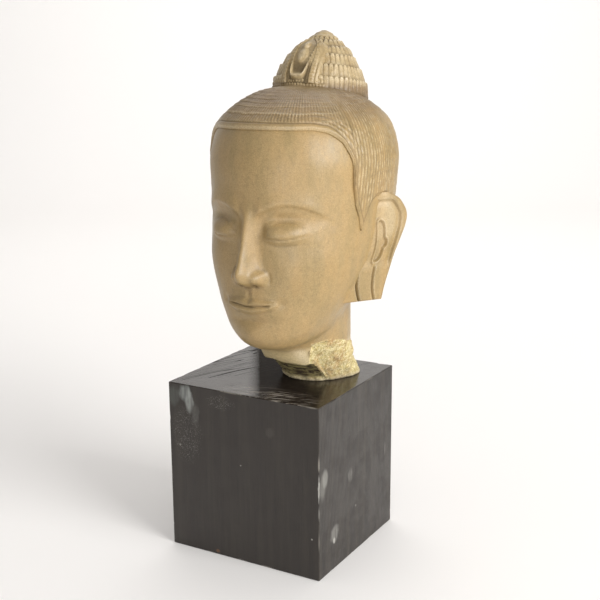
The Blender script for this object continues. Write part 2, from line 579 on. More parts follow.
def build_hair(stone):
    """The cap of worn locks: upright strokes in level rows, and a plain band along the hairline.

    Each row swells to its lower edge and steps in again, with a rounded tip to every stroke. Rows are
    strongest over the forehead, strokes before and above the ears, and ridges follow the temples.
    The band narrows where it turns down the temples.
    """
    columns = HAIR_COLUMNS_PER_CURL * CURL_COLUMNS
    angles = -180 + 360 * np.arange(columns) / columns
    heights = np.interp(np.abs(angles), HAIRLINE_DEGREES, HAIRLINE_HEIGHTS)
    low = station_at(angles, heights)
    shares = np.linspace(0.0, 1.0, HAIR_ROWS)
    station = 0.3 + shares[:, None] * (low[None, :] - 0.3)
    degrees = np.broadcast_to(angles, station.shape)
    turned_from_front = np.abs(degrees)
    bare = skull(degrees, station)
    out = normals(skull, degrees, station)
    ladder = np.linspace(0.0, NECK_TOP, 1400)
    steps = np.linalg.norm(np.diff(skull(np.full_like(ladder, 90.0), ladder), axis=0), axis=-1)
    arc = np.interp(station, ladder, np.concatenate([[0.0], np.cumsum(steps)])) / SHARE
    gap = hairline_gap(bare)
    stroke_width = np.hypot(bare[..., 0], bare[..., 1] - 0.02) / SHARE * math.tau / CURL_COLUMNS
    wander = 0.35 * grain(bare, 24 * SHARE, 20)
    column = 0.5 + 0.5 * np.cos(np.radians(degrees) * CURL_COLUMNS + wander)
    count = arc / CURL_ROW - CROWN_CROWDING * np.clip(CROWN_REACH - arc, 0, None)
    row_share = (count + 0.28 * grain(bare, 30 * SHARE, 21) + 0.10 * grain(bare, 5 * SHARE, 26)) % 1.0
    tip = 0.74 + 0.16 * column
    row_step = np.where(row_share < tip, (row_share / tip) ** 0.8, (1 - row_share) / (1 - tip))
    worn = 0.75 + 0.55 * grain(bare, 26 * SHARE, 22) + 0.30 * grain(bare, 8 * SHARE, 23)
    worn = np.clip(worn, 0.1, 1.2)
    crown = smooth_step(66, 34, arc)
    front = smooth_step(72, 46, turned_from_front)
    beside = smooth_step(50, 68, turned_from_front) * smooth_step(118, 96, turned_from_front)
    near_band = smooth_step(21, 11, gap)
    rows = 0.09 + 0.36 * front * near_band - 0.03 * crown - 0.05 * beside * (1 - crown)
    strokes = 0.42 + 0.42 * front + 0.34 * beside
    strokes = strokes * smooth_step(0.7, 1.7, stroke_width) * (1 - 0.2 * crown)
    band_width = BAND_WIDTH * (1 - BAND_NARROWING * smooth_step(50, 62, turned_from_front))
    in_locks = smooth_step(band_width + 0.3, band_width + 1.3, gap)
    locks = (rows * row_step + strokes * column * (0.4 + 0.6 * row_step)) * worn
    dots = grain(bare, 2.6 * SHARE, 25)
    pits = -0.30 * smooth_step(0.42, 0.75, dots) * (0.3 + 0.7 * beside)
    speck = (0.18 * grain(bare, 2.2 * SHARE, 24) + pits) * in_locks
    temple = smooth_step(34, 44, turned_from_front) * smooth_step(74, 62, turned_from_front)
    temple = temple * smooth_step(21, 15, gap)
    ridges = 0.45 * (0.5 + 0.5 * np.cos(math.tau * (gap - band_width / 2) / 4.2)) * temple * in_locks
    groove = 0.60 * bump(gap - band_width, 0.8)
    lower_edge = 0.25 * bump(gap - 1.1, 0.8)
    band = 0.45 + lower_edge
    relief = locks * in_locks * (1 - 0.7 * temple) + ridges + speck + band * (1 - in_locks) - groove
    lip = 1 - 0.68 * smooth_step(2.4, 0.0, gap)
    depth = HAIR_DEPTH * lip + (relief - 0.45) * SHARE
    outer = bare + depth[..., None] * out
    outer = weathered(outer, 0.8)
    turned = [bare[-1:] + share * HAIR_DEPTH * out[-1:] for share in (0.15, -0.2, -0.8, -1.6)]
    inner = HAIR_HEART + 0.6 * (turned[-1] - HAIR_HEART)
    grid = np.concatenate([outer, *turned, inner])
    recess = np.clip(0.70 - relief / 0.80, 0, 1) * in_locks * (0.35 + 0.5 * worn)
    recess = recess * (0.26 + 0.70 * front * near_band + 0.30 * beside * (1 - crown))
    between = (1 - smooth_step(0.05, 0.55, column)) * in_locks * smooth_step(1.3, 2.2, stroke_width)
    cut = 0.30 + 0.26 * beside + 0.22 * front
    recess = np.maximum(recess, cut * between * np.clip(worn, 0.4, 1.0))
    recess = np.maximum(recess, 0.6 * bump(gap - band_width, 0.9))
    in_row = smooth_step(0.70, 0.98, row_share / tip) * (row_share < tip)
    pale = 0.45 * in_row * in_locks * front * (1 - crown)
    pale = np.maximum(pale, 0.28 * bump(gap - 1.3, 1.1) * front)
    on_strand = smooth_step(0.55, 0.95, column) * smooth_step(-0.25, 0.50, -dots)
    pale = np.maximum(pale, (0.48 * beside + 0.22 * front) * on_strand * in_locks)
    behind = np.zeros((5, recess.shape[1]))
    marks = {"recess": np.concatenate([recess, behind]), "pale": np.concatenate([pale, behind])}
    top = CROWN + np.array([0.0, 0.0, HAIR_DEPTH])
    return closed_grid("hair_cap", grid, top, HAIR_HEART, stone, marks)


def build_knot(stone):
    """Tiers of tall upright petals, beads at the front of the base, and a plain blunt tip.

    A petal leans out from the foot of its tier to its round top, with a groove to either side, and
    the tier above starts from far in behind it. Tiers are taller towards the base.
    """
    angles = -180 + 360 * np.arange(KNOT_COLUMNS) / KNOT_COLUMNS
    top = KNOT_TIP - KNOT_POINT
    edges = top - (top - KNOT_BASE) * np.linspace(1.0, 0.0, KNOT_TIERS + 1) ** TIER_EASE
    fine = np.concatenate([
        np.linspace(low, high, count, endpoint=False)
        for low, high, count in zip(edges[:-1], edges[1:], KNOT_ROWS_PER_TIER)
    ])
    point = [KNOT_TIP - 0.001, KNOT_TIP - 0.006]
    height = np.concatenate([point, np.linspace(KNOT_TIP - 0.012, top, 8), fine[::-1]])
    degrees, level = np.broadcast_arrays(angles[None, :], height[:, None])
    tier = np.clip(np.searchsorted(edges, level, side="right") - 1, 0, KNOT_TIERS - 1)
    rise_mm = (level - edges[tier]) / SHARE
    tall_mm = (edges[tier + 1] - edges[tier]) / SHARE
    climb = np.clip(rise_mm / tall_mm, 0, 1)
    middle = knot_profile((edges[tier] + edges[tier + 1]) / 2)
    count = np.round(math.tau * middle / (PETAL_WIDTH * SHARE))
    across = 2 * ((degrees / 360 * count + 0.5 * (tier % 2)) % 1.0) - 1
    place = knot_point(degrees, level, 0.0 * level)
    uneven = 0.6 * grain(place, 7 * SHARE, 33)
    arch = tall_mm - 0.3 + uneven * 0.5 - 1.9 * np.abs(across) ** 2.6
    inside = smooth_step(-0.15, 0.55, arch - rise_mm)
    between = smooth_step(0.62, 1.0, np.abs(across))
    leaf = (0.30 + 1.70 * climb ** 1.1) * (1 - 0.55 * between) * inside
    in_tiers = level < top
    relief = np.where(in_tiers, leaf, 1.0 * (1 - smooth_step(top, top + 0.012, level)))
    aside = np.abs(np.sin(np.radians(degrees))) * knot_profile(level) / (NICHE_WIDTH / 2)
    niche_top = NICHE_MIDDLE + 0.42 * NICHE_HEIGHT
    under_niche = smooth_step(0.92, 0.80, aside) * (np.abs(degrees) < 90)
    under_niche = under_niche * smooth_step(niche_top, niche_top - 0.015, level)
    under_niche = under_niche * smooth_step(1.020, 1.035, level)
    relief = relief * (1 - under_niche)
    front = smooth_step(-112, -98, degrees) * (1 - smooth_step(30, 38, degrees))
    bead_row = rise_mm / tall_mm * 3.2
    bead_across = 2 * ((degrees / 360 * 96 + 0.5 * (bead_row > 1)) % 1.0) - 1
    bead = np.sqrt(np.clip(1 - bead_across ** 2 - (2 * (bead_row % 1.0) - 1) ** 2, 0, 1))
    beaded = front * (tier == 0) * in_tiers * (bead_row < 2)
    relief = relief * (1 - beaded) + beaded * (0.45 + 0.9 * bead)
    worn = np.clip(0.92 + 0.45 * grain(place, 12 * SHARE, 31), 0.4, 1.2)
    chipped = 0.30 * grain(place, 2.4 * SHARE, 32) + 0.25 * grain(place, 5 * SHARE, 34)
    proud = (relief * worn - 0.15 + chipped) * SHARE
    grid = knot_point(degrees, level, proud)
    grid = weathered(grid, 0.7)
    low_down = np.clip(0.95 - relief / 0.80, 0, 1) * (0.80 + 0.35 * grain(place, 6 * SHARE, 35))
    recess = np.where(in_tiers, np.maximum(low_down, 0.60 * between * (1 - beaded)), 0.05)
    pale = 0.55 * smooth_step(0.35, 0.95, climb) * inside * in_tiers
    pale = pale * (1 - 0.6 * beaded) * (1 - between)
    pale = pale * np.clip(0.75 + 0.8 * grain(place, 9 * SHARE, 36), 0.1, 1.2)
    level_row = np.ones((1, KNOT_COLUMNS))
    skirt = knot_point(angles[None, :], (KNOT_BASE - 0.05) * level_row, -0.03 * level_row)
    grid = np.concatenate([grid, skirt])
    marks = {"recess": np.concatenate([recess, recess[-1:]]), "pale": np.concatenate([pale, pale[-1:]])}
    tip = np.array([0.0, KNOT_BACK + KNOT_LEAN, KNOT_TIP])
    core = np.array([0.0, KNOT_BACK, KNOT_BASE - 0.07])
    return closed_grid("topknot", grid, tip, core, stone, marks)


def niche_relief(across, up):
    """A pointed frame of two bands round a seated figure: the highest of its forms at each place.

    They are the frame, the legs as a low curved ridge, the body and head as half balls, and the ground.
    """
    opening = 0.58 * (1 - ((up + 1) / 2) ** 7)
    outline = 1 - ((up + 1) / 2) ** 9
    side = np.abs(across)
    band = np.clip((side - opening) / np.maximum(outline - opening, 0.05), 0, 1)
    beading = 0.0012 * np.cos(up * math.pi * 13) * bump(band - 0.25, 0.25)
    arch = 0.0110 * smooth_step(opening - 0.03, opening + 0.05, side)
    arch = arch - 0.0045 * bump(band - 0.60, 0.10) + beading * smooth_step(0.8, 0.5, up)
    ground = 0.0060 * smooth_step(-0.34, 0.02, up) + 0.003 * smooth_step(0.40, 0.50, side)
    legs = 0.0165 * bump(up + 0.70 - 110.0 * side ** 6, 0.115) * smooth_step(0.57, 0.48, side)
    body = 0.0155 * np.sqrt(np.clip(1 - (across / 0.31) ** 2 - ((up - 0.20) / 0.37) ** 2, 0, 1))
    head = 0.0170 * np.sqrt(np.clip(1 - (across / 0.18) ** 2 - ((up - 0.64) / 0.19) ** 2, 0, 1))
    return np.maximum.reduce([arch, legs, body, head, ground])


def build_niche(stone):
    """The arched niche on the topknot's front: its carved face outside, a plain back sunk in.

    Each row is a loop at one height: across the carved face, its place taken from the topknot's round
    plus the relief, and back behind it. The outline narrows to a point by a ninth power of the height.
    """
    front_turn = np.linspace(-math.pi, 0.0, NICHE_FRONT_COLUMNS + 1)[:-1]
    back_turn = np.linspace(0.0, math.pi, NICHE_COLUMNS - NICHE_FRONT_COLUMNS + 1)[:-1]
    turn = np.concatenate([front_turn, back_turn])
    up = np.cos(np.linspace(0.01, 0.985, NICHE_ROWS) * math.pi)[:, None] + 0 * turn[None, :]
    outline = 1 - ((up + 1) / 2) ** 9
    spread = np.clip(-turn / math.pi * 2 - 1, -1, 1)
    facing = np.broadcast_to((turn < 0)[None, :], up.shape)
    even = np.where(turn < 0, -np.sin(spread * math.pi / 2), np.cos(turn))[None, :]
    across = outline * even
    level = NICHE_MIDDLE + up * NICHE_HEIGHT / 2
    side = across * NICHE_WIDTH / 2
    back = np.sqrt(np.maximum(knot_profile(level) ** 2 - side ** 2, 0.0))
    relief = niche_relief(across, up)
    rounding = np.clip(1 - even ** 8, 0, 1) ** 0.5
    lift = np.where(facing, (NICHE_DEPTH + relief) * rounding, -0.03 * np.sin(turn)[None, :])
    middle = KNOT_BACK + KNOT_LEAN * ((level - KNOT_BASE) / (KNOT_TIP - KNOT_BASE)) ** 2
    level = level + KNOT_SLOPE * 0.6 * back
    grid = np.stack([side, middle - back - lift, level + 0.4 * lift], axis=-1)
    wear = (0.50 * grain(grid, 4.5 * SHARE, 51) + 0.25 * grain(grid, 1.8 * SHARE, 52)) * SHARE
    grid[..., 1] -= np.where(facing, wear, 0.0)
    recess = np.clip(0.95 - relief / 0.009, 0, 1) * facing
    pale = 0.35 * smooth_step(0.0105, 0.0150, relief) * facing
    high = grid[0].mean(axis=0) + np.array([0.0, 0.0, 0.0005])
    low = grid[-1].mean(axis=0) - np.array([0.0, 0.0, 0.0005])
    return closed_grid("topknot_niche", grid, high, low, stone, {"recess": recess, "pale": pale})


def ear_relief(across, height, width):
    """The ear's carving: a rolled rim round a flat shell, a tall hollow, and a lobe of two strips.

    Distances run over the ear in millimetres: in from its front, free and upper edges. The hollow is a
    leaf joined to a small oval behind it, with a ridge before it and a lower one behind.
    """
    side = across * width / SHARE
    from_rear = width / SHARE - side
    from_top = (0.617 - height) / SHARE * 0.92
    from_front = (side - 0.8) * 1.7 + 30 * smooth_step(0.475, 0.455, height)
    nearness = sum(np.exp(-gap / EAR_BLEND) for gap in (from_rear, from_top, from_front))
    edge = -EAR_BLEND * np.log(nearness)
    rim_width = ramp_through(((0.175, 1.5), (0.31, 2.2), (0.36, 3.2), (0.42, 4.4), (0.47, 6.0),
                              (0.51, 7.0), (0.56, 7.2), (0.615, 6.0)), height)
    upper = smooth_step(0.300, 0.345, height)
    past_rim = edge - rim_width
    shell = -2.1 * smooth_step(-1.4, 1.2, past_rim) + 1.1 * smooth_step(0.5, 6.0, past_rim)
    rim = 0.46 * bump(edge - 0.5 * rim_width, 0.32 * rim_width) * smooth_step(-0.3, 1.4, edge)
    rim = rim - 0.15 * bump(edge - 0.95 * rim_width, 0.8) - 0.14 * smooth_step(0.9, 0.0, from_rear)
    middle = ramp_through(((0.335, 17.4), (0.354, 17.3), (0.429, 16.9), (0.470, 15.6),
                           (0.505, 13.6)), height)
    leaf = 1 - ((side - middle) / 4.2) ** 2 - ((height - 0.417) / SHARE / 18.2) ** 8
    swollen = 1 - ((side - 19.6) / 4.4) ** 2 - ((height - 0.408) / SHARE / 5.4) ** 2
    inside = np.maximum(leaf, swollen)
    hollow = -2.2 * smooth_step(-0.10, 0.75, inside)
    before = 1.6 * bump(inside + 0.35, 0.50) * smooth_step(1.0, -2.5, side - middle)
    behind = 0.5 * bump(inside + 0.35, 0.40) * smooth_step(-1.0, 3.0, side - middle)
    lobe = smooth_step(0.322, 0.306, height)
    cleft_place = 2.5 + (0.318 - height) / 0.133 * 12.3
    cleft = -3.4 * bump(side - cleft_place, 1.2) * lobe
    seam_place = 20.1 + (0.301 - height) / 0.126 * 9.6
    seam = (-1.7 * bump(side - seam_place, 0.9) + 0.7 * bump(side - seam_place - 2.0, 1.0)) * lobe
    strips = -0.8 * smooth_step(1.6, 0.0, from_rear) * lobe
    return ((shell + rim) * upper + hollow + before + behind + cleft + seam + strips) * SHARE


def build_ear(name, side_sign, stone):
    """Level loops down the ear: over the carved face, round the free edge, back into the head.

    The face is the straight chord from the sunk edge to the free edge, swollen by a fourth-power curve
    and pushed out by the relief. The free edge is rolled over by a curve of the second degree.
    """
    heights = np.concatenate([
        [0.6146, 0.6135, 0.612], np.linspace(0.610, 0.180, EAR_LOOPS), [0.1768, 0.1755, 0.175],
    ])
    across = np.linspace(0.0, 1.0, EAR_COLUMNS)
    front = smooth_through(EAR_FRONT[::-1, 0], EAR_FRONT[::-1, 1:], heights)
    rear = smooth_through(EAR_REAR[::-1, 0], EAR_REAR[::-1, 1:], heights)
    rear[:, 0] -= EAR_EASE
    chord = rear - front
    width = np.linalg.norm(chord, axis=-1)
    along = chord / width[:, None]
    out = np.stack([along[:, 1], -along[:, 0]], axis=-1)
    relief = ear_relief(across[None, :], heights[:, None], width[:, None])
    swell = EAR_SWELL * np.sqrt(np.clip(1 - (2 * across - 1) ** 4, 0, 1))
    rounding = smooth_step(0.175, 0.179, heights) * smooth_step(0.6155, 0.607, heights)
    face = front[:, None, :] + across[None, :, None] * chord[:, None, :]
    face = face + ((relief + swell) * rounding[:, None])[..., None] * out[:, None, :]
    turn = np.linspace(0, 1, 9)[1:, None, None]
    lip = rear - EAR_RIM * out + EAR_LIP * along
    behind = rear - EAR_BACK * out - EAR_BACK_TUCK * along
    bulge = rear - 0.3 * EAR_RIM * out + EAR_LIP * along
    control = 2 * bulge - (rear + lip) / 2
    rolled = (1 - turn) ** 2 * rear + 2 * turn * (1 - turn) * control + turn ** 2 * lip
    backed = lip + turn * (behind - lip)
    inset = EAR_ROOT_INSET * chord[:, 1]
    root_rear = np.stack([np.full_like(heights, EAR_ROOT), rear[:, 1] - inset], axis=-1)
    root_front = np.stack([np.full_like(heights, EAR_ROOT), front[:, 1] + inset], axis=-1)
    inward = behind + turn * (root_rear - behind)
    across_root = root_rear + turn[3::4] * (root_front - root_rear)
    forward = root_front + turn[:-1:2] * (front - root_front)
    rest = [np.swapaxes(part, 0, 1) for part in (rolled, backed, inward, across_root, forward)]
    loop = np.concatenate([face, *rest], axis=1)
    level = np.broadcast_to(heights[:, None, None], (*loop.shape[:2], 1))
    grid = np.concatenate([loop, level], axis=-1)
    near = beside_each(relief, 2, 3)
    recess = np.zeros(grid.shape[:2])
    recess[:, :across.size] = np.clip((near - relief) / (0.9 * SHARE), 0, 1) * 0.75
    shell = smooth_step(0.40, 0.46, heights)[:, None] * bump(across - 0.55, 0.28)[None, :]
    pale = np.zeros(grid.shape[:2])
    pale[:, :across.size] = np.clip((relief - near) / (1.8 * SHARE), 0, 0.28) + 0.30 * shell
    upper = grid[0].mean(axis=0) + np.array([0.0, 0.0, 0.0005])
    lower = grid[-1].mean(axis=0)
    mirror = np.array([side_sign, 1.0, 1.0])
    grid = grid * mirror
    marks = {"recess": recess, "pale": pale}
    return closed_grid(name, grid, upper * mirror, lower * mirror, stone, marks)


def build_plinth(wood):
    """The block as six joined square grids: edges rounded and lightly dented, faces almost flat.

    A point of the unit cube is held inside the block less its edge radius, and the rest of its
    way outwards is turned along the straight line from there, which rounds edges and corners.
    """
    line = np.linspace(-1.0, 1.0, BLOCK_LINES)
    line = np.sign(line) * (1 - (1 - np.abs(line)) ** 1.7)
    first, second = np.meshgrid(line, line, indexing="ij")
    whole = np.ones_like(first)
    faces = []
    for axis in range(3):
        for sign in (-1.0, 1.0):
            parts = [None, None, None]
            parts[axis] = sign * whole
            parts[(axis + 1) % 3] = first if sign > 0 else second
            parts[(axis + 2) % 3] = second if sign > 0 else first
            faces.append(np.stack(parts, axis=-1).reshape(-1, 3))
    cube = np.concatenate(faces)
    low = np.array(plinth_low)
    high = np.array(plinth_high)
    half = (high - low) / 2
    point = cube * half
    core = np.clip(point, -half + BLOCK_ROUNDING, half - BLOCK_ROUNDING)
    away = point - core
    length = np.linalg.norm(away, axis=-1, keepdims=True)
    rounded = core + BLOCK_ROUNDING * away / np.maximum(length, 1e-9)
    edge_gap = np.sort(half - np.abs(rounded), axis=-1)[:, 1]
    near_edge = bump(edge_gap, 1.6 * MM)
    dents = np.clip(grain(rounded, 5 * MM, 41) - 0.35, 0, 1) * 0.9 * MM * near_edge
    rounded = rounded * (1 - dents[:, None] / np.linalg.norm(half))
    rounded[:, 2] = np.where(cube[:, 2] < -0.999, -half[2], rounded[:, 2])
    points = rounded + (low + high) / 2
    keys = np.round(cube * 1e6).astype(np.int64)
    _, keep, back = np.unique(keys, axis=0, return_index=True, return_inverse=True)
    back = back.reshape(-1)
    index = np.arange(len(cube)).reshape(6, BLOCK_LINES, BLOCK_LINES)
    upper, lower = index[:, :-1], index[:, 1:]
    quads = np.stack([upper[..., :-1], lower[..., :-1], lower[..., 1:], upper[..., 1:]], axis=-1)
    quads = back[quads.reshape(-1, 4)]
    marks = {"edge": near_edge[keep] * (0.5 + 0.5 * grain(points[keep], 12 * MM, 42))}
    none = np.zeros((0, 3), int)
    return mesh_of("stained_block", points[keep], quads, none, wood, PLINTH_NODE, marks)


def linear(code):
    """An sRGB hex colour as linear red, green, blue and full alpha."""
    shares = [int(code[i:i + 2], 16) / 255 for i in (1, 3, 5)]
    return tuple(c / 12.92 if c <= 0.04045 else ((c + 0.055) / 1.055) ** 2.4 for c in shares) + (1.0,)


# Kinds of shader node in use: Blender's name, its settings, its inputs in the order in which they are
# given, and the output that is handed on, or None for all of them
NODE_KINDS = {
    "coordinates": ("ShaderNodeTexCoord", {}, (), "Object"),
    "parts": ("ShaderNodeSeparateXYZ", {}, (0,), None),
    "mark": ("ShaderNodeAttribute", {}, (), "Fac"),
    "noise": ("ShaderNodeTexNoise", {}, ("Vector", "Scale", "Detail", "Roughness"), 0),
    "drift": ("ShaderNodeTexNoise", {}, ("Vector", "Scale", "Detail"), "Color"),
    "moved": ("ShaderNodeMapping", {}, ("Vector", "Location", "Scale"), 0),
    "scaled": ("ShaderNodeMapping", {}, ("Vector", "Scale"), 0),
    "turned": ("ShaderNodeMapping", {"vector_type": "TEXTURE"}, ("Vector", "Rotation", "Scale"), 0),
    "range": ("ShaderNodeMapRange", {}, ("Value", "From Min", "From Max", "To Min", "To Max"), 0),
    "mix": ("ShaderNodeMix", {"data_type": "RGBA"}, (0, 6, 7), 2),
    "times": ("ShaderNodeMath", {"operation": "MULTIPLY"}, (0, 1), 0),
    "less": ("ShaderNodeMath", {"operation": "SUBTRACT"}, (0, 1), 0),
    "larger": ("ShaderNodeMath", {"operation": "MAXIMUM"}, (0, 1), 0),
    "fraction": ("ShaderNodeMath", {"operation": "FRACT"}, (0,), 0),
    "folded": ("ShaderNodeMath", {"operation": "PINGPONG"}, (0, 1), 0),
    "away": ("ShaderNodeVectorMath", {"operation": "SUBTRACT"}, (0, 1), 0),
    "spread": ("ShaderNodeVectorMath", {"operation": "MULTIPLY"}, (0, 1), 0),
    "added": ("ShaderNodeVectorMath", {"operation": "MULTIPLY_ADD"}, (0, 1, 2), 0),
    "length": ("ShaderNodeVectorMath", {"operation": "LENGTH"}, (0,), "Value"),
    "along": ("ShaderNodeVectorMath", {"operation": "DOT_PRODUCT"}, (0, 1), "Value"),
    "bumps": ("ShaderNodeBump", {}, ("Height", "Strength", "Distance", "Normal"), 0),
}


def node_adder(tree):
    """The function that adds a node to one material and gives it its settings, values and links."""
    def put(kind, *values, **settings):
        blender_name, usual, inputs, output = NODE_KINDS[kind]
        node = tree.nodes.new(blender_name)
        for label, value in {**usual, **settings}.items():
            setattr(node, label, value)
        for key, value in zip(inputs, values):
            if isinstance(value, bpy.types.NodeSocket):
                tree.links.new(value, node.inputs[key])
            else:
                node.inputs[key].default_value = value
        return node.outputs if output is None else node.outputs[output]
    return put


def spot(put, place, centre, size):
    """A soft-edged oval mark round a centre, both in metres, from 1 inside to 0 outside."""
    offset = [-middle / reach for middle, reach in zip(centre, size)]
    moved = put("moved", place, offset, [1 / reach for reach in size])
    return put("range", put("length", moved), 0.55, 1.0, 1.0, 0.0)


def wobbled(put, place, amount, size):
    """Coordinates pushed about by a soft noise, so that marks drawn on them have uneven edges."""
    middle = put("away", put("drift", place, 1 / size, 3.0), (0.5,) * 3)
    return put("added", middle, (amount,) * 3, place)


def sandstone():
    """Fine tan sandstone, carved, rubbed smooth and long handled.

    To the eye: a warm tan with the faintest grain, browner on the crown, orange where handled, dark
    dirt in the cuts, pale worn edges, a low waxy sheen, and a raw, paler, speckled yellow break.
    """
    finish = bpy.data.materials.new("rubbed sandstone")
    finish.use_nodes = True
    shader = finish.node_tree.nodes["Principled BSDF"]
    link = finish.node_tree.links.new
    put = node_adder(finish.node_tree)
    place = put("coordinates")
    parts = put("parts", place)
    recess, broken, cave, pale = (
        put("mark", attribute_name=label) for label in ("recess", "broken", "cave", "pale")
    )
    upright = put("scaled", place, (1.0, 1.0, 0.30))
    level = put("scaled", place, (1.0, 1.0, 5.0))
    cloud = put("noise", place, 1 / (60 * MM), 4.0, 0.6)
    patch = put("noise", upright, 1 / (14 * MM), 5.0, 0.65)
    fine = put("noise", place, 1 / (0.8 * MM), 3.0, 0.7)
    coarse = put("noise", place, 1 / (3.2 * MM), 4.0, 0.65)
    speckle = put("noise", place, 1 / (1.7 * MM), 3.0, 0.75)
    layers = put("noise", level, 1 / (11 * MM), 4.0, 0.6)

    right = put("range", parts["X"], HEAD_PLACE[0] - 0.06, HEAD_PLACE[0] + 0.07)
    handled = put("times", put("range", patch, 0.46, 0.72), put("times", right, 0.40))
    crown_low = HEAD_PLACE[2] + 0.88 * HEAD_HEIGHT
    crown = put("range", parts["Z"], crown_low, crown_low + 0.10 * HEAD_HEIGHT)
    browned = put("times", crown, put("range", cloud, 0.3, 0.6, 0.45, 0.95))
    knot_low = HEAD_PLACE[2] + 1.02 * HEAD_HEIGHT
    knot = put("range", parts["Z"], knot_low, knot_low + 0.03 * HEAD_HEIGHT)
    worn_knot = put("mix", put("range", patch, 0.4, 0.62), linear("#A68F66"), linear("#BDA880"))
    on_crown = (HEAD_PLACE[0] - 5 * MM, -50 * MM, HEAD_PLACE[2] + 0.985 * HEAD_HEIGHT)
    neck_top = HEAD_PLACE[2] - 0.01 * HEAD_HEIGHT
    neck = put("range", parts["Z"], neck_top, neck_top - 0.06 * HEAD_HEIGHT)
    base = put("mix", put("range", cloud, 0.35, 0.65), linear("#937B52"), linear("#A18860"))
    for share, colour in (
        (handled, linear("#AC8552")),
        (put("times", right, 0.26), linear("#C8AA70")),
        (put("times", put("range", patch, 0.55, 0.35), 0.45), linear("#877650")),
        (browned, linear("#7B664E")),
        (knot, worn_knot),
        (put("times", spot(put, place, on_crown, (6 * MM,) * 3), 0.5), linear("#BCA688")),
        (put("times", neck, 0.90), linear("#DBC799")),
        (put("range", coarse, 0.50, 0.75, 0.0, 0.38), linear("#6F5D3E")),
        (put("range", fine, 0.36, 0.60, 0.40, 0.0), linear("#65522F")),
        (put("range", fine, 0.58, 0.76, 0.0, 0.24), linear("#CDB886")),
    ):
        base = put("mix", share, base, colour)

    far_side = put("range", parts["X"], HEAD_PLACE[0] + 0.022, HEAD_PLACE[0] + 0.042, 0.0, 0.6)
    hidden = put("mix", put("range", layers, 0.42, 0.58), linear("#3A2C1B"), linear("#8B7F53"))
    raw = put("mix", put("range", coarse, 0.36, 0.62), linear("#B7A465"), linear("#DDCFA0"))
    for share, colour in (
        (put("range", patch, 0.50, 0.64, 0.0, 0.60), linear("#B98E5C")),
        (put("times", put("range", patch, 0.42, 0.58), far_side), linear("#A47C50")),
        (put("range", speckle, 0.55, 0.66, 0.0, 0.70), linear("#7A6739")),
        (put("range", fine, 0.38, 0.54, 0.55, 0.0), linear("#7C6D3C")),
        (put("range", speckle, 0.45, 0.36, 0.0, 0.6), linear("#F3E9C4")),
        (cave, hidden),
    ):
        raw = put("mix", share, raw, colour)
    rubbed = put("times", pale, put("range", fine, 0.38, 0.56, 0.25, 1.0))
    base = put("mix", broken, base, raw)
    base = put("mix", rubbed, base, linear("#DCCCAC"))
    base = put("mix", put("range", recess, 0.08, 1.0, 0.0, 0.70), base, linear("#40331F"))
    link(base, shader.inputs["Base Color"])

    waxy = put("range", patch, 0.35, 0.70, 0.34, 0.50)
    unpolished = put("range", put("larger", broken, recess), 0.1, 0.7, 0.0, 0.92)
    link(put("larger", waxy, unpolished), shader.inputs["Roughness"])
    shader.inputs["IOR"].default_value = 1.5
    depth = put("range", broken, 0.0, 1.0, 0.15, 0.45)
    pits = put("bumps", fine, depth, 0.3 * MM)
    link(put("bumps", coarse, depth, 0.7 * MM, pits), shader.inputs["Normal"])
    return finish


def on_front(across, down):
    """A place on the block's front face, by shares from its left and upper edges."""
    return (plinth_low[0] + across * (plinth_high[0] - plinth_low[0]), plinth_low[1],
            plinth_high[2] - down * (plinth_high[2] - plinth_low[2]))


def on_right(across, down):
    """A place on the block's right face, by shares from its front and upper edges."""
    return (plinth_high[0], plinth_low[1] + across * (plinth_high[1] - plinth_low[1]),
            plinth_high[2] - down * (plinth_high[2] - plinth_low[2]))


def on_top(across, into):
    """A place on the block's top, by shares from its left and front edges."""
    return (plinth_low[0] + across * (plinth_high[0] - plinth_low[0]),
            plinth_low[1] + into * (plinth_high[1] - plinth_low[1]), plinth_high[2])


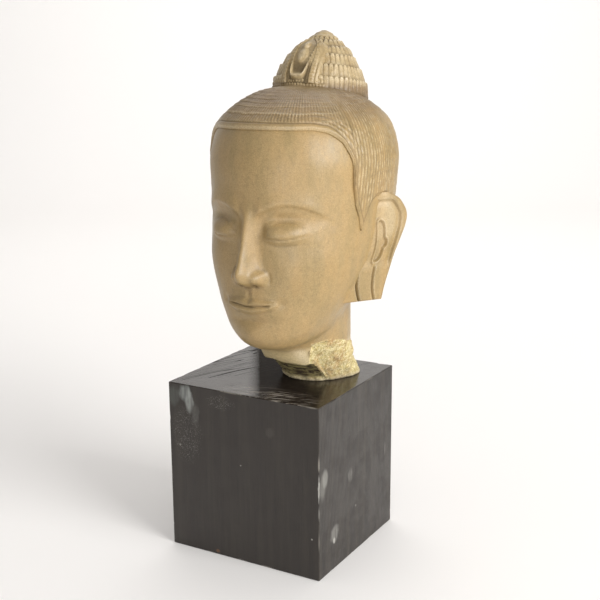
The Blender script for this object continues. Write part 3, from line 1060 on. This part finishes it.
def stained_wood():
    """Open-grained softwood boards, mitred round a block, stained black and thinly varnished.

    To the eye: near black with a grey cast and a satin sheen, fine upright lines, faint nested arches
    on the right face, pale rubs, nicks and specks, and a glossier top with open lines along two boards,
    scratched at its front edge and dull across the middle, where the head has stood.
    """
    finish = bpy.data.materials.new("black-stained wood")
    finish.use_nodes = True
    shader = finish.node_tree.nodes["Principled BSDF"]
    link = finish.node_tree.links.new
    put = node_adder(finish.node_tree)
    place = put("coordinates")
    parts = put("parts", place)
    edge = put("mark", attribute_name="edge")
    uneven = wobbled(put, place, 7 * MM, 9 * MM)
    nudged = wobbled(put, place, 2 * MM, 6 * MM)
    top = put("range", parts["Z"], plinth_high[2] - 0.9 * MM, plinth_high[2] - 0.5 * MM)
    right_face = put("range", parts["X"], plinth_high[0] - 1.2 * MM, plinth_high[0] - 0.7 * MM)

    # Grain of the sides: upright fibres, and rings round an upright heart that leans as it rises
    level = (0.0, 0.0, 0.0)
    upright = put("turned", place, level, (1.0, 1.0, 20.0))
    fibres = put("noise", upright, 1 / (1.1 * MM), 4.0, 0.7)
    streaks = put("noise", upright, 1 / (7 * MM), 4.0, 0.6)
    heart = put("moved", place, (0.0, -7.3 * MM, 0.0), (1.0, 1.0, 0.0))
    lean = put("added", parts["Z"], (0.13, 0.0, 0.0), heart)
    bent = wobbled(put, lean, 4 * MM, 40 * MM)
    ring = put("length", put("spread", bent, (1.0, 1.0, 0.0)))
    phase = put("fraction", put("times", ring, 1 / (3.6 * MM)))
    arches = put("times", put("times", put("range", phase, 0.45, 0.98), right_face), 0.50)
    fibre_share = put("range", right_face, 0.0, 1.0, 0.40, 0.95)
    fibre_lines = put("times", put("range", fibres, 0.48, 0.70), fibre_share)
    side_lines = put("larger", arches, fibre_lines)

    # Grain of the top: lines along a left and a front board that meet in a mitre, and wide tracks
    left_turn = (0.0, 0.0, math.radians(-22.0))
    front_turn = (0.0, 0.0, math.radians(4.0))
    left_lines = put("turned", place, left_turn, (1.0, 30.0, 1.0))
    front_lines = put("turned", place, front_turn, (25.0, 1.0, 1.0))
    along_left = put("noise", left_lines, 1 / (1.5 * MM), 4.0, 0.7)
    along_front = put("noise", front_lines, 1 / (1.6 * MM), 4.0, 0.7)
    mitre = plinth_low[1] - plinth_low[0]
    into_block = put("less", parts["Y"], parts["X"])
    left_board = put("range", into_block, mitre - 0.3 * MM, mitre + 0.3 * MM)
    top_lines = put("range", put("mix", left_board, along_front, along_left), 0.53, 0.68, 0.0, 0.5)
    wide = put("noise", put("turned", place, left_turn, (1.0, 14.0, 1.0)), 1 / (16 * MM), 1.0, 0.4)
    tracks = put("range", put("folded", wide, 0.060), 0.003, 0.012, 0.85, 0.0)
    top_lines = put("larger", top_lines, put("times", tracks, left_board))
    open_lines = put("mix", top, side_lines, top_lines)

    # Scratches at the top's front edge, in two directions, and dust in two places on the front
    scratched = []
    for turn, stretch, size, low, high, most in (
        (12.0, 22.0, 1.2 * MM, 0.56, 0.63, 1.0),
        (38.0, 18.0, 1.6 * MM, 0.60, 0.66, 0.7),
    ):
        drawn_out = put("turned", place, (0.0, 0.0, math.radians(turn)), (stretch, 1.0, 1.0))
        lines = put("noise", drawn_out, 1 / size, 3.0, 0.6)
        scratched.append(put("range", lines, low, high, 0.0, most))
    scratch_place = spot(put, uneven, on_top(0.66, 0.06), (58 * MM, 24 * MM, 12 * MM))
    scratch_share = put("times", scratch_place, put("times", top, 0.90))
    scratches = put("times", put("larger", *scratched), scratch_share)
    specks = put("range", put("noise", place, 1 / (0.8 * MM), 2.0, 0.6), 0.60, 0.67)
    dusty = put("larger", spot(put, uneven, on_front(0.12, 0.30), (19 * MM, 12 * MM, 30 * MM)),
                spot(put, uneven, on_front(0.36, 0.07), (17 * MM, 15 * MM, 8 * MM)))
    grey_share = put("range", right_face, 0.0, 1.0, 0.24, 0.62)
    greyed = put("times", put("range", streaks, 0.46, 0.72), grey_share)
    base = put("mix", open_lines, linear("#28221D"), linear("#120F0D"))
    for share, code in (
        (greyed, "#403A31"),
        (scratches, "#A0988D"),
        (put("times", put("times", specks, dusty), 0.7), "#8F8C84"),
    ):
        base = put("mix", share, base, linear(code))

    # Broad rubs, brushed upright, then smaller knocks, nicks and specks
    brushed = put("turned", place, level, (1.0, 1.0, 6.0))
    rubbed = put("range", put("noise", brushed, 1 / (3.0 * MM), 3.0, 0.55), 0.36, 0.60, 0.55, 1.0)
    for centre, size, code, strength in (
        (on_front(0.04, 0.08), (7 * MM, 12 * MM, 12 * MM), "#5E645E", 0.40),
        (on_front(0.115, 0.05), (8 * MM, 12 * MM, 9 * MM), "#878B87", 0.70),
        (on_front(0.145, 0.09), (5 * MM, 12 * MM, 14 * MM), "#989B96", 0.58),
        (on_front(0.185, 0.17), (5 * MM, 12 * MM, 12 * MM), "#6B6C66", 0.28),
        (on_front(0.69, 0.19), (6 * MM, 12 * MM, 6 * MM), "#544E48", 0.30),
        (on_right(0.40, 0.51), (8 * MM, 5 * MM, 8 * MM), "#7E7C75", 0.36),
        (on_right(0.20, 0.79), (8 * MM, 9 * MM, 9 * MM), "#8E8C85", 0.50),
    ):
        worn = put("times", put("times", spot(put, uneven, centre, size), rubbed), strength)
        base = put("mix", worn, base, linear(code))
    for centre, size, code, strength in (
        (on_right(0.075, 0.42), (8 * MM, 6 * MM, 10 * MM), "#8F8E87", 0.50),
        (on_right(0.045, 0.46), (8 * MM, 6 * MM, 15 * MM), "#7F7D76", 0.42),
        (on_front(0.49, 0.42), (0.8 * MM, 8 * MM, 0.8 * MM), "#A8A59D", 0.45),
        (on_front(0.07, 0.37), (0.9 * MM, 8 * MM, 0.9 * MM), "#A8A59D", 0.50),
        (on_front(0.955, 0.76), (1.0 * MM, 8 * MM, 1.0 * MM), "#A8A59D", 0.70),
        (on_front(0.32, 0.98), (2.4 * MM, 8 * MM, 2.0 * MM), "#6E4B30", 0.60),
        (on_right(0.0, 0.46), (1.2 * MM, 1.2 * MM, 15 * MM), "#BAB9B2", 0.60),
        (on_right(0.0, 0.60), (1.1 * MM, 1.1 * MM, 9 * MM), "#A5A39B", 0.28),
        (on_right(0.19, 0.83), (8 * MM, 2.6 * MM, 3.5 * MM), "#B5B3AB", 0.60),
        (on_right(0.48, 0.72), (8 * MM, 1.2 * MM, 1.2 * MM), "#A5A39B", 0.60),
        (on_right(0.90, 0.50), (8 * MM, 1.2 * MM, 8 * MM), "#8D8B84", 0.35),
    ):
        base = put("mix", put("times", spot(put, nudged, centre, size), strength), base, linear(code))
    base = put("mix", put("range", edge, 0.45, 0.85, 0.0, 0.60), base, linear("#8E897F"))
    link(base, shader.inputs["Base Color"])

    # The dull patch: a band across the top, and the open lines of the grain
    across_top = put("along", nudged, (0.844, 0.536, 0.0))
    near_side = put("times", put("range", across_top, -34.0 * MM, -20.0 * MM), top)
    dull = put("times", near_side, put("range", across_top, 10 * MM, 45 * MM, 1.0, 0.0))
    dull = put("larger", dull, put("times", put("times", open_lines, top), 0.9))
    bright = put("range", dull, 0.0, 0.9, 0.71, 0.063)
    link(put("times", bright, bright), shader.inputs["Specular IOR Level"])
    cloudy = put("noise", place, 1 / (18 * MM), 3.0, 0.6)
    glossy = put("range", cloudy, 0.40, 0.62, 0.11, 0.20)
    sheen = put("mix", top, put("range", cloudy, 0.40, 0.62, 0.34, 0.46), glossy)
    link(put("larger", sheen, put("times", open_lines, 0.5)), shader.inputs["Roughness"])
    shader.inputs["IOR"].default_value = 1.5
    sunk = put("bumps", open_lines, 0.35, 0.2 * MM, invert=True)
    link(sunk, shader.inputs["Normal"])
    return finish


def plain(name, code, roughness):
    """A plain matt paint in one colour, for the studio floor."""
    finish = bpy.data.materials.new(name)
    finish.use_nodes = True
    shader = finish.node_tree.nodes["Principled BSDF"]
    shader.inputs["Base Color"].default_value = linear(code)
    shader.inputs["Roughness"].default_value = roughness
    return finish


def build_studio():
    """A pale floor that curves up into a backdrop, a big soft light, two small ones and a bright room.

    The floor is one profile drawn out sideways: level, then a quarter of a circle, then upright.
    """
    quarter = np.linspace(0, math.pi / 2, 16)[1:]
    depth = np.concatenate([np.linspace(-6, 2.0, 12), 2.0 + 1.2 * np.sin(quarter), np.full(6, 3.2)])
    rise = np.concatenate([np.zeros(12), 1.2 - 1.2 * np.cos(quarter), np.linspace(1.6, 5.0, 6)])
    reach = np.linspace(-7, 7, 9)
    x, y = np.meshgrid(reach, depth, indexing="ij")
    z = np.broadcast_to(rise, x.shape) - FLOOR_DROP
    turn = math.radians(FLOOR_TURN)
    turned_x = x * math.cos(turn) - y * math.sin(turn)
    turned_y = x * math.sin(turn) + y * math.cos(turn)
    points = np.stack([turned_x, turned_y, z], axis=-1)
    index = np.arange(x.size).reshape(x.shape)
    quads = np.stack([index[:-1, :-1], index[1:, :-1], index[1:, 1:], index[:-1, 1:]], axis=-1)
    quads = quads.reshape(-1, 4)
    mesh = bpy.data.meshes.new("studio_floor")
    mesh.from_pydata(points.reshape(-1, 3).tolist(), [], quads.tolist())
    mesh.shade_smooth()
    mesh.materials.append(plain("pale studio paper", "#F8F5F2", 0.9))
    floor = bpy.data.objects.new("studio_floor", mesh)
    bpy.context.scene.collection.objects.link(floor)
    for name, place, aim, size, power in LAMPS:
        lamp = bpy.data.lights.new(name, "AREA")
        lamp.shape = "SQUARE"
        lamp.size = size
        lamp.energy = power
        light = bpy.data.objects.new(name, lamp)
        light.location = place
        light.rotation_euler = (Vector(aim) - Vector(place)).to_track_quat("-Z", "Y").to_euler()
        bpy.context.scene.collection.objects.link(light)
    world = bpy.data.worlds.new("bright room")
    world.use_nodes = True
    world.node_tree.nodes["Background"].inputs["Color"].default_value = (1.0, 1.0, 1.0, 1.0)
    world.node_tree.nodes["Background"].inputs["Strength"].default_value = ROOM_BRIGHTNESS
    bpy.context.scene.world = world
    bpy.context.scene.view_settings.view_transform = "Standard"


def build_camera():
    """The camera at the photograph's place: turned and raised by its angles, slightly rolled."""
    azimuth, elevation, roll = map(math.radians, (CAMERA_AZIMUTH, CAMERA_ELEVATION, CAMERA_ROLL))
    back = Vector((math.sin(azimuth) * math.cos(elevation), -math.cos(azimuth) * math.cos(elevation),
                   math.sin(elevation)))
    level = Vector((math.cos(azimuth), math.sin(azimuth), 0.0))
    up = back.cross(level)
    right = math.cos(roll) * level + math.sin(roll) * up
    up = math.cos(roll) * up - math.sin(roll) * level
    data = bpy.data.cameras.new("photo_camera")
    data.sensor_width = CAMERA_SENSOR
    data.lens = CAMERA_LENS
    camera = bpy.data.objects.new("photo_camera", data)
    turned = Matrix((right, up, back)).transposed().to_4x4()
    camera.matrix_world = Matrix.Translation(CAMERA_PLACE) @ turned
    bpy.context.scene.collection.objects.link(camera)
    bpy.context.scene.camera = camera


build_studio()
build_camera()
stone = sandstone()
wood = stained_wood()
build_face(stone)
build_hair(stone)
build_knot(stone)
build_niche(stone)
build_ear("left_ear", 1.0, stone)
build_ear("right_ear", -1.0, stone)
build_plinth(wood)
